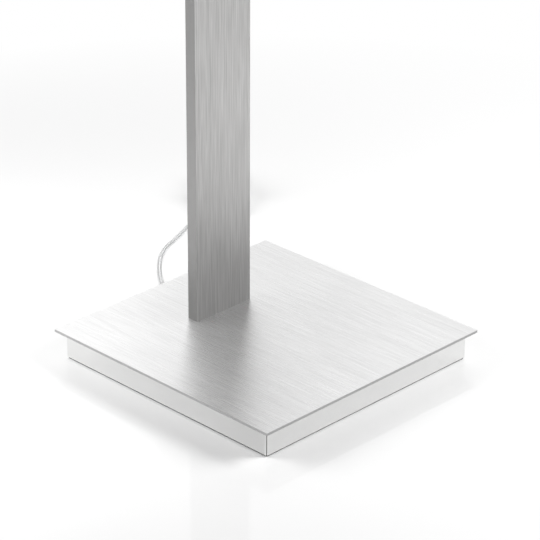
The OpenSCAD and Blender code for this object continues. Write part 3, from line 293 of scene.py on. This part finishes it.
def rubber(name, colour, cells=1400.0, bump=0.5):
    """Matt rubber, a little dusty on its high spots."""
    m = Shader(name)
    pores = m.node("TexVoronoi", Vector=m.coordinates(), Scale=cells).outputs["Distance"]
    dust = m.noise(160, detail=3, rough=0.6)
    m.principled(
        Base_Color=m.blend(m.spread(dust, 0, 1, (0.4, 0.75)), colour, shade(colour, 1.9)),
        Roughness=m.spread(dust, 0.72, 0.9),
        Specular_IOR_Level=0.35,
        Normal=m.bump(pores, strength=bump, distance=0.00012),
    )
    return m.owner


def board(name, colour, tracks):
    """A circuit board's solder mask over the copper's slightly raised tracks."""
    m = Shader(name)
    lines = m.node("TexBrick", Vector=m.coordinates(), Scale=160.0, Mortar_Size=0.04).outputs["Fac"]
    speck = m.noise(1200, detail=1)
    m.principled(
        Base_Color=m.blend(m.spread(speck, 0, 0.15), m.blend(lines, colour, tracks), shade(colour, 0.8)),
        Roughness=m.spread(speck, 0.25, 0.4),
        Coat_Weight=0.3,
        Coat_Roughness=0.15,
        Normal=m.bump(lines, strength=0.3, distance=0.00005),
    )
    return m.owner


def coated(name, colour):
    """Powder coat: the fine orange peel of a baked finish."""
    m = Shader(name)
    peel = m.noise(900)
    m.principled(
        Base_Color=m.blend(m.spread(m.noise(60), 0, 1), colour, shade(colour, 1.25)),
        Roughness=m.spread(peel, 0.48, 0.62),
        Normal=m.bump(peel, strength=0.35, distance=0.0001),
    )
    return m.owner


def opal(name, colour):
    """Opal acrylic: light passes into it and spreads."""
    m = Shader(name)
    haze, skin = m.noise(90), m.noise(1500, detail=1)
    m.principled(
        Base_Color=m.blend(m.spread(haze, 0, 1), shade(colour, 0.97), colour),
        Roughness=m.spread(skin, 0.3, 0.42),
        Subsurface_Weight=0.35,
        Subsurface_Scale=0.004,
        Normal=m.bump(skin, strength=0.1, distance=0.00004),
    )
    return m.owner


def clear(name, colour, roughness, haze=0.0):
    """Clear soft vinyl, with the faint draw lines of its extrusion."""
    m = Shader(name)
    draw = m.noise(420, distortion=0.4)
    m.principled(
        Base_Color=m.blend(m.spread(draw, 0, 1), shade(colour, 0.96), colour),
        Roughness=m.spread(draw, roughness * 0.7, roughness * 1.4),
        Transmission_Weight=1.0 - haze,
        IOR=1.45,
        Normal=m.bump(draw, strength=0.06, distance=0.00006),
    )
    return m.owner


def strands(name, colour):
    """Fine twisted wires seen as one bundle."""
    m = Shader(name)
    settings = {"bands_direction": "DIAGONAL"}
    lines = m.node("TexWave", settings, Vector=m.coordinates(), Scale=420.0, Distortion=1.5).outputs["Fac"]
    m.principled(
        Base_Color=m.blend(m.spread(lines, 0, 1, (0.2, 0.8)), shade(colour, 0.75), colour),
        Metallic=1.0,
        Roughness=m.spread(lines, 0.28, 0.42, (0, 1)),
        Normal=m.bump(lines, strength=0.6, distance=0.00008),
    )
    return m.owner


# side in the brushed finishes is the painted shade on their narrow faces
FINISHES = {
    "brushed_plate": brushed(
        "brushed_plate",
        grey(0.825),
        grain=Y,
        broad=Z,
        roughness=0.30,
        side=0.55,
        contrast=0.07,
        anisotropy=0.88,
        metal=0.9,
    ),
    "mirror_plinth": polished("mirror_plinth", (0.865, 0.865, 0.86, 1), roughness=0.11),
    "brushed_column": brushed(
        "brushed_column",
        grey(0.505, 0.008),
        grain=Z,
        broad=Y,
        roughness=0.46,
        side=0.62,
        contrast=0.16,
        anisotropy=0.25,
    ),
    "brushed_head": brushed(
        "brushed_head", grey(0.52, 0.008), grain=Y, broad=Z, roughness=0.40, side=0.62, contrast=0.12
    ),
    "bright_trim": polished("bright_trim", (0.72, 0.73, 0.74, 1), roughness=0.1),
    "cast_zinc": cast("cast_zinc", grey(0.55)),
    "ballast_steel": cast("ballast_steel", grey(0.12), roughness=0.55, grain=350, bump=0.6),
    "zinc_fasteners": zinc("zinc_fasteners", (0.62, 0.63, 0.64, 1)),
    "black_sheet": coated("black_sheet", grey(0.022)),
    "mat_rubber": rubber("mat_rubber", grey(0.015)),
    "black_rubber": rubber("black_rubber", grey(0.022), cells=2400.0, bump=0.25),
    "black_plastic": moulded("black_plastic", grey(0.028)),
    "white_plastic": moulded("white_plastic", (0.78, 0.78, 0.74, 1)),
    "circuit_board": board("circuit_board", (0.03, 0.16, 0.08, 1), (0.06, 0.26, 0.12, 1)),
    "white_board": board("white_board", (0.82, 0.82, 0.80, 1), (0.74, 0.74, 0.72, 1)),
    "led_yellow": moulded("led_yellow", (0.86, 0.62, 0.14, 1), roughness=0.3, grain=4000, bump=0.1),
    "friction_fibre": moulded("friction_fibre", (0.16, 0.17, 0.09, 1), roughness=0.7, grain=1500, bump=0.6),
    "wire_blue": moulded("wire_blue", (0.03, 0.09, 0.32, 1), roughness=0.35, grain=900, bump=0.1),
    "wire_red": moulded("wire_red", (0.32, 0.03, 0.025, 1), roughness=0.35, grain=900, bump=0.1),
    "opal_acrylic": opal("opal_acrylic", (0.90, 0.90, 0.87, 1)),
    "clear_cord": clear("clear_cord", (0.985, 0.99, 0.99, 1), roughness=0.12, haze=0.17),
    "clear_plug": clear("clear_plug", (0.92, 0.94, 0.94, 1), roughness=0.12),
    "pin_brass": polished("pin_brass", (0.66, 0.64, 0.58, 1), roughness=0.16),
}
STRANDS = strands("tinned_strands", (0.64, 0.64, 0.65, 1))
STRAP = rubber("strap_weave", grey(0.03), cells=3200.0, bump=0.8)

for row in frame["record"]["subparts"]:
    mesh = frame["nodes"][row["node"]].data
    mesh.materials.clear()
    mesh.materials.append(FINISHES[row["material_slot"]])

button_middle = tuple(np.mean(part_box("dimmer_button"), axis=0))
turned_button = turned("turned_button", grey(0.58, 0.008), roughness=0.3, middle=button_middle)
frame["nodes"]["dimmer_button"].data.materials[0] = turned_button

# ---------------------------------------------------------------- cord

CORD_WIDTH, CORD_THICKNESS, JACKET_SIDES = 5.2, 2.6, 20
CORE_OFFSET, CORE_DIAMETER, CORE_SIDES = 0.95, 1.2, 8
CURVE_STEPS = 3  # points to each stretch of a route

# The route of the free stretch, in mm, and the flat cord's turn about its own line
CORD_ROUTE = [
    (30, 176.55, 10), (30, 179.5, 10), (30, 182.5, 9.9), (30.3, 187, 9.1), (31.6, 193, 6.8),
    (35, 200, 3.8), (41.5, 207.5, 1.9), (47.5, 216, 1.36), (58.5, 230, 1.32), (71.5, 244.5, 1.31),
    (87, 259.5, 1.31), (102, 271, 1.31), (116.5, 279, 1.31), (135, 286, 1.31), (149.5, 292, 1.33),
    (161, 297, 1.45), (170, 301, 1.8), (180.5, 304.5, 2.2), (191, 308, 2.5), (201, 312.5, 2.62),
]
CORD_TURN = [0] * 15 + [3, 18, 40, 62, 80]
# The two points before the hank, as distances back from it, with their turns
ENTRY_BACK, ENTRY_TURN = (2 * CORD_WIDTH, CORD_WIDTH), [88, 90]

# The hank: where it lies, its runs and folds, and how it is drawn in and lifted at its waist
HANK_AT, HANK_ANGLE = (260.5, 332.0), math.radians(46)
HANK_HEADING = np.array([math.cos(HANK_ANGLE), math.sin(HANK_ANGLE), 0])
HANK_RUN, HANK_FOLD, HANK_STEP, HANK_LOOPS, HANK_WAIST = 80, 16, 3.6, 3, 12
LAYER_STEP, WAIST_LIFT = CORD_WIDTH + 0.6, 1.1
RUN_RINGS, FOLD_RINGS = 4, 8
HALF_RINGS = RUN_RINGS + FOLD_RINGS
HANK_RINGS = 2 * HALF_RINGS
HANK_CLIMB = HANK_LOOPS * HANK_RINGS  # the ring from which it climbs to the upper layer
HANK_LAST = 2 * HANK_CLIMB + RUN_RINGS // 2  # the cord leaves the hank in the middle of a run

# From the hank to the plug, in the hank's frame
TAIL_ROUTE = [
    (6, 16.5, 9.5), (14, 19.3, 10.3), (22, 22.3, 11.7), (31, 25.3, 13.5), (40, 26.8, 15.2),
    (48, 24.6, 16.1), (53.9, 18.6, 16.9), (56, 10.6, 17.7), (53.9, 2.6, 18.5), (48, -3.4, 19.3),
    (42, -5.5, 19.9), (38, -5.5, 20.2), (34, -5.5, 20.2),
]
TAIL_TURN = [90, 90, 90, 90, 90, 90, 88, 72, 50, 28, 10, 0, 0]
TAIL_RELIEF = 20.0

# The cores run on into both reliefs: points before the jacket, and distances past its end
CORE_INLET = [(30, 149.7, 10), (30, 158, 10), (30, 167, 10)]
CORE_OUTLET = (6, 13, TAIL_RELIEF - 0.5)

QUARTERS = ((1, 1, 0), (-1, 1, 90), (-1, -1, 180), (1, -1, 270))  # a section's corners and their first angle


def eased(t):
    """From 0 to 1 as t does, slowly at both ends, and level beyond them."""
    return (1 - math.cos(math.pi * min(max(t, 0), 1))) / 2


def hank_point(k):
    """The k-th ring's centre in the hank's own frame: along a run, round a fold, back and round again."""
    wound = HANK_CLIMB - k if k < HANK_CLIMB else max(k - HANK_CLIMB - RUN_RINGS, 0)
    r = HANK_FOLD + HANK_STEP / HANK_RINGS * wound
    z = CORD_WIDTH / 2 + LAYER_STEP * eased((k - HANK_CLIMB) / RUN_RINGS)
    half, i = divmod(k % HANK_RINGS, HALF_RINGS)
    side = 1 if half == 0 else -1
    if i < RUN_RINGS:
        run = i / RUN_RINGS
        drawn = (1 - math.cos(2 * math.pi * run)) / 2
        return (side * (HANK_RUN * run - HANK_RUN / 2), side * (r - HANK_WAIST * drawn), z + WAIST_LIFT * drawn)
    a = math.radians((i - RUN_RINGS) * 180 / FOLD_RINGS)
    return (side * (HANK_RUN / 2 + r * math.sin(a)), side * r * math.cos(a), z)


def out_of_hank(point):
    """From the hank's frame to the lamp's, in mm."""
    c, s, _ = HANK_HEADING
    x, y, z = point
    return (HANK_AT[0] + c * x - s * y, HANK_AT[1] + s * x + c * y, z)


def smooth(points):
    """A Catmull-Rom curve through points or numbers."""
    p = np.array(points, float)
    out = []
    for i in range(len(p) - 1):
        a, b, c, d = p[max(i - 1, 0)], p[i], p[i + 1], p[min(i + 2, len(p) - 1)]
        for j in range(CURVE_STEPS):
            t = j / CURVE_STEPS
            square, cube = 2 * a - 5 * b + 4 * c - d, 3 * b - a - 3 * c + d
            out.append(0.5 * (2 * b + (c - a) * t + square * t * t + cube * t**3))
    out.append(p[-1])
    return np.array(out)


def laid(path, turns, offsets):
    """Each ring's points: the section's offsets, turned about the path."""
    ahead = np.vstack([path[1:], path[-1:]]) - np.vstack([path[:1], path[:-1]])
    ahead /= np.linalg.norm(ahead, axis=1)[:, None]
    across = np.cross(ahead, [0, 0, 1])
    across /= np.linalg.norm(across, axis=1)[:, None]
    up = np.cross(across, ahead)
    c, s = np.cos(turns)[:, None, None], np.sin(turns)[:, None, None]
    x, y = offsets[None, :, 0, None], offsets[None, :, 1, None]
    return path[:, None] + (x * c - y * s) * across[:, None] + (x * s + y * c) * up[:, None]


def stadium(width, thickness, sides):
    """A flat section with round edges."""
    half, r = sides // 2, thickness / 2
    out = []
    for k in range(sides):
        side, first = (1, -90) if k < half else (-1, 90)
        a = math.radians(first + 180 * (k % half) / (half - 1))
        out.append((side * (width - thickness) / 2 + r * math.cos(a), r * math.sin(a)))
    return np.array(out)


def circle(diameter, sides, centre=(0, 0)):
    """A round section."""
    a = np.arange(sides) * 2 * math.pi / sides
    return np.stack([centre[0] + diameter / 2 * np.cos(a), centre[1] + diameter / 2 * np.sin(a)], 1)


def tube(name, rings, material):
    """A smooth piece through rings of points in mm, closed at both ends."""
    count, sides = rings.shape[:2]
    faces = []
    for i in range(0, (count - 1) * sides, sides):
        for k in range(sides):
            q = (k + 1) % sides
            faces.append((i + k, i + q, i + sides + q, i + sides + k))
    faces.append(tuple(range(sides))[::-1])
    faces.append(tuple((count - 1) * sides + k for k in range(sides)))
    mesh = bpy.data.meshes.new(name)
    mesh.from_pydata([tuple(v) for v in rings.reshape(-1, 3) * MM], [], faces)
    mesh.validate()
    bm = bmesh.new()
    bm.from_mesh(mesh)
    bmesh.ops.recalc_face_normals(bm, faces=bm.faces)
    bm.to_mesh(mesh)
    bm.free()
    for p in mesh.polygons:
        p.use_smooth = True
    mesh.materials.append(material)
    piece = bpy.data.objects.new(name, mesh)
    SCENE.collection.objects.link(piece)
    return piece


def cord_line():
    """The cord's whole centreline in mm and its turn in radians, from the strain relief to the plug's."""
    hank_points = [out_of_hank(hank_point(k)) for k in range(HANK_LAST + 1)]
    entry_points = [hank_points[0] - back * HANK_HEADING for back in ENTRY_BACK]
    tail_points = [out_of_hank(p) for p in TAIL_ROUTE]
    line = smooth(CORD_ROUTE + entry_points + hank_points + tail_points)
    turns = smooth(CORD_TURN + ENTRY_TURN + [90] * len(hank_points) + TAIL_TURN)
    return line, np.radians(turns)


def make_cord():
    """The clear jacket and the two cores in it, and the cord's line."""
    line, turns = cord_line()
    section = stadium(CORD_WIDTH, CORD_THICKNESS, JACKET_SIDES)
    jacket = tube("flex_jacket", laid(line, turns, section), FINISHES["clear_cord"])
    jacket.visible_shadow = False  # clear vinyl throws next to no shadow
    outlet = [line[-1] - HANK_HEADING * beyond for beyond in CORE_OUTLET]
    core_line = np.vstack([CORE_INLET, line, outlet])
    core_turns = np.concatenate([[0] * len(CORE_INLET), turns, [0] * len(CORE_OUTLET)])
    cores = []
    for side, tag in ((-1, "a"), (1, "b")):
        section = circle(CORE_DIAMETER, CORE_SIDES, (side * CORE_OFFSET, 0))
        cores.append(tube("flex_core_" + tag, laid(core_line, core_turns, section), STRANDS))
    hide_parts("cord_run", "cord_hank")
    for piece in [jacket, *cores]:
        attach(piece, "stand")
    return jacket, cores, line


PLUG_PLACE = (34.0, -5.5, 20.2)  # the cord's end, where the plug's relief starts, in the hank's frame
PLUG_LENGTH, PLUG_WIDTH, PLUG_NECK, PLUG_THICKNESS = 36.0, 35.2, 18.0, 13.7
PLUG_CORNER, PLUG_EDGE, PLUG_STEPS = 4.2, 1.6, 40
HOLLOW_DEPTH, HOLLOW_AT, HOLLOW_REACH = 1.0, 15.0, 6.0
PLUG_BLOCK = [
    (19.0, 21.0, 4.6, 1.2), (19.5, 22.0, 5.6, 1.6), (30.0, 25.5, 6.6, 2.0),
    (34.6, 25.5, 6.6, 2.0), (35.1, 24.5, 5.8, 1.6),
]


def in_plug(along, across, above):
    """A point of the plug: distance from the end of its relief, across it and above its middle."""
    x, y, z = PLUG_PLACE
    return out_of_hank((x - TAIL_RELIEF - along, y - across, z + above))


def loft(name, stations, material, corner_steps):
    """A moulded body along the plug: stations of (distance, width, thickness, corner radius)."""
    rings = []
    for along, width, thickness, radius in stations:
        radius = min(radius, width / 2, thickness / 2)
        ring = []
        for sx, sy, first in QUARTERS:
            for k in range(corner_steps + 1):
                a = math.radians(first + 90 * k / corner_steps)
                across = sx * (width / 2 - radius) + radius * math.cos(a)
                above = sy * (thickness / 2 - radius) + radius * math.sin(a)
                ring.append(in_plug(along, across, above))
        rings.append(ring)
    return tube(name, np.array(rings), material)


def make_plug():
    """The flat two-pin plug: clear vinyl over a pale inner block, with finger hollows in its broad faces."""
    stations = []
    for step in range(PLUG_STEPS + 1):
        along = PLUG_LENGTH * step / PLUG_STEPS
        # the outline widens from the relief to the straight part before the pins
        width = min(PLUG_WIDTH, PLUG_NECK + along)
        end = min(along, PLUG_LENGTH - along)
        rounded = math.sqrt(1 - (1 - min(end / PLUG_EDGE, 1)) ** 2)
        cut = 2 * PLUG_EDGE * (1 - rounded)
        hollow = HOLLOW_DEPTH * math.exp(-(((along - HOLLOW_AT) / HOLLOW_REACH) ** 2))
        stations.append((along, width - cut, PLUG_THICKNESS - hollow - cut, PLUG_CORNER))
    body = loft("plug_moulding", stations, FINISHES["clear_plug"], corner_steps=6)
    inner = loft("plug_block", PLUG_BLOCK, FINISHES["white_plastic"], corner_steps=4)
    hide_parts("plug_body")
    for piece, slot in ((body, "clear_plug"), (inner, "white_plastic")):
        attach(piece, "stand")
    return body, inner


STRAP_WIDTH, STRAP_THICKNESS, STRAP_SIDES = 12.0, 0.8, 10
# Its loop's middle, half sizes and corner radius, across the hank and up from the floor
STRAP_MIDDLE, STRAP_HALF, STRAP_CORNER = (0.9, 6.6), (17.76, 6.2), 2.0
ARC_STEPS, SIDE_STEPS = 6, 6
# The loop's point that it starts at, how many more than one round it takes, and how it climbs onto its own start
STRAP_START, STRAP_OVERLAP = 44, 13
LAP_GAP, LAP_BEFORE, LAP_STEPS = 0.06, 5, 4
STRAP_TIP = [0.98, 0.93, 0.82, 0.6]  # its width at the last points, as a share


def strap_loop():
    """Once round the hank: the middle of the bend or side, and the direction outward."""
    reach = [half - STRAP_CORNER for half in STRAP_HALF]
    corners = [(sx * reach[0], sy * reach[1]) for sx, sy, _ in QUARTERS]
    loop = []
    for i, (_, _, first) in enumerate(QUARTERS):
        (x, y), (next_x, next_y) = corners[i], corners[(i + 1) % 4]
        for k in range(ARC_STEPS + 1):
            a = math.radians(first + 90 * k / ARC_STEPS)
            outward = (math.cos(a), math.sin(a))
            loop.append((x, y, *outward))
        for k in range(1, SIDE_STEPS):
            t = k / SIDE_STEPS
            loop.append((x + (next_x - x) * t, y + (next_y - y) * t, *outward))
    return loop


def make_strap():
    """The strap round the hank's waist: once about, and its loose end laid over the side."""
    loop = strap_loop()
    count = len(loop) + STRAP_OVERLAP
    shares = [1.0] * (count - len(STRAP_TIP)) + STRAP_TIP
    rings = []
    for k in range(count):
        cx, cy, nx, ny = loop[(STRAP_START + k) % len(loop)]
        lift = (STRAP_THICKNESS + LAP_GAP) * eased((k - len(loop) + LAP_BEFORE) / LAP_STEPS)
        v = STRAP_MIDDLE[0] + cx + nx * (STRAP_CORNER + lift)
        z = STRAP_MIDDLE[1] + cy + ny * (STRAP_CORNER + lift)
        section = stadium(STRAP_WIDTH * shares[k], STRAP_THICKNESS, STRAP_SIDES)
        rings.append([out_of_hank((x, v + nx * y, z + ny * y)) for x, y in section])
    strap = tube("hank_strap", np.array(rings), STRAP)
    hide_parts("hank_tie")
    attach(strap, "stand")
    return strap


flex, flex_cores, flex_line = make_cord()
plug_parts = [*make_plug(), frame["nodes"]["plug_relief"], frame["nodes"]["plug_pins"]]
strap = make_strap()

# ---------------------------------------------------------------- the button's spring

SPRING_WIRE, SPRING_TURNS, CLOSED_TURNS = 0.8, 4, 0.75
SPRING_STEPS, SPRING_SIDES = 24, 10


def make_spring():
    """The coil behind the dimmer button, with closed ends."""
    low, high = (np.array(corner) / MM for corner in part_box("dimmer_spring"))
    length = high[Y] - low[Y]
    radius = (high[X] - low[X] - SPRING_WIRE) / 2
    pitch = (length - SPRING_WIRE - 2 * CLOSED_TURNS * SPRING_WIRE) / SPRING_TURNS
    all_turns = SPRING_TURNS + 2 * CLOSED_TURNS
    turns = np.linspace(0, all_turns, round(SPRING_STEPS * all_turns) + 1)
    open_turns = np.clip(turns - CLOSED_TURNS, 0, SPRING_TURNS)
    angle = 2 * math.pi * turns
    outward = np.stack([np.cos(angle), np.zeros_like(angle), np.sin(angle)], 1)
    line = (low + high) / 2 + radius * outward
    line[:, Y] = low[Y] + SPRING_WIRE / 2 + pitch * open_turns + SPRING_WIRE * (turns - open_turns)
    out, forward = circle(SPRING_WIRE, SPRING_SIDES).T[:, None, :, None]
    rings = line[:, None] + out * outward[:, None] + forward * np.array([0, 1, 0])
    coil = tube("button_coil", rings, FINISHES["zinc_fasteners"])
    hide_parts("dimmer_spring")
    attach(coil, "stand")
    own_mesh(coil)


make_spring()

# ---------------------------------------------------------------- studio

FLOOR_HALF, FLOOR_DROP = 60.0, 0.0003  # it lies just under the mat, so that the two share no plane
FLOOR_GLOW = 0.055
WHITE_BEYOND = (0.42, 1.0)  # from and to these distances the lit floor turns into plain white
AMBIENT = 0.3  # the world's strength where it only lights
# Metal sees the world dimmer this way, from and to these cosines and down to this level
DARK_SIDE, DARK_SPREAD, DARK_LEVEL = (0.62, -0.66, 0.42), (0.35, 0.93), 0.55
PICTURE_RIGHT = -45  # the direction to the picture's right, in degrees about Z
BASE_MIDDLE = (0, 0, 0.02)
SOFTBOXES = (  # name, side, distance, height, size, watts, whether metal alone sees it, and its aim
    ("left_box", 180, 0.7, 0.4, 0.45, 5.0, False, BASE_MIDDLE),
    ("right_box", 0, 1.5, 1.0, 0.9, 34.7, False, BASE_MIDDLE),
    ("back_box", 90, 1.5, 1.0, 0.9, 5.0, False, BASE_MIDDLE),
    ("left_sheen", 126, 0.45, 0.22, 0.25, 0.053, True, (-0.14, 0.14, 0.03)),
    ("right_sheen", 60, 0.55, 0.28, 0.30, 0.034, True, (0.14, -0.14, 0.03)),
)


def make_floor():
    """A wide glossy white floor that keeps the shadow near the object and is plain white far from it.

    What it gives off is seen, but lights nothing."""
    corners = [(sx * FLOOR_HALF, sy * FLOOR_HALF, 0) for sx, sy in ((-1, -1), (1, -1), (1, 1), (-1, 1))]
    mesh = bpy.data.meshes.new("floor")
    mesh.from_pydata(corners, [], [(0, 1, 2, 3)])
    floor = bpy.data.objects.new("floor", mesh)
    floor.location.z = -FLOOR_DROP
    SCENE.collection.objects.link(floor)
    m = Shader("floor")
    lit = m.principled(Base_Color=grey(0.80), Roughness=0.05, IOR=1.36)
    glow = m.node("Emission", Color=WHITE, Strength=FLOOR_GLOW)
    white = m.node("Emission", Color=WHITE, Strength=1.0)
    seen = m.seen()
    shown = m.node("MixShader", _0=seen, _2=glow.outputs[0])
    near = m.node("AddShader", _0=lit.outputs[0], _1=shown.outputs[0])
    away = m.vector("LENGTH", m.node("TexCoord").outputs["Object"])["Value"]
    far = m.math("MULTIPLY", m.spread(away, 0, 1, WHITE_BEYOND), seen)
    m.surface(m.node("MixShader", _0=far, _1=near.outputs[0], _2=white.outputs[0]))
    mesh.materials.append(m.owner)


def make_world():
    """White to the camera; metal sees it dimmer at the front right, where the studio is dark."""
    w = Shader("studio", world=True)
    direction = w.node("TexCoord").outputs["Generated"]
    towards = w.vector("DOT_PRODUCT", direction, _1=tuple(Vector(DARK_SIDE).normalized()))["Value"]
    dim = w.spread(towards, 1.0, DARK_LEVEL, DARK_SPREAD, curve="SMOOTHERSTEP")
    lit = w.math("MAXIMUM", w.node("LightPath").outputs["Is Camera Ray"], dim)
    white = w.node("Background", Color=WHITE, Strength=lit)
    soft = w.node("Background", Color=WHITE, Strength=AMBIENT)
    w.surface(w.node("MixShader", _0=w.seen(), _1=soft.outputs[0], _2=white.outputs[0]))
    SCENE.world = w.owner


def softbox(name, side, distance, height, size, watts, metal, aim):
    """A square softbox aimed at the base, seen by metal only or by everything else.

    The side is in degrees from the picture's right, through the back, to its left."""
    data = bpy.data.lights.new(name, "AREA")
    data.shape = "SQUARE"
    data.size = size
    data.energy = watts
    light = bpy.data.objects.new(name, data)
    a = math.radians(PICTURE_RIGHT + side)
    light.location = (distance * math.cos(a), distance * math.sin(a), height)
    light.rotation_euler = (Vector(aim) - light.location).to_track_quat("-Z", "Y").to_euler()
    light.visible_camera = False
    light.visible_glossy, light.visible_diffuse = metal, not metal
    SCENE.collection.objects.link(light)


make_floor()
make_world()
for light in SOFTBOXES:
    softbox(*light)

# ---------------------------------------------------------------- the end

SCENE.view_settings.view_transform = "Standard"
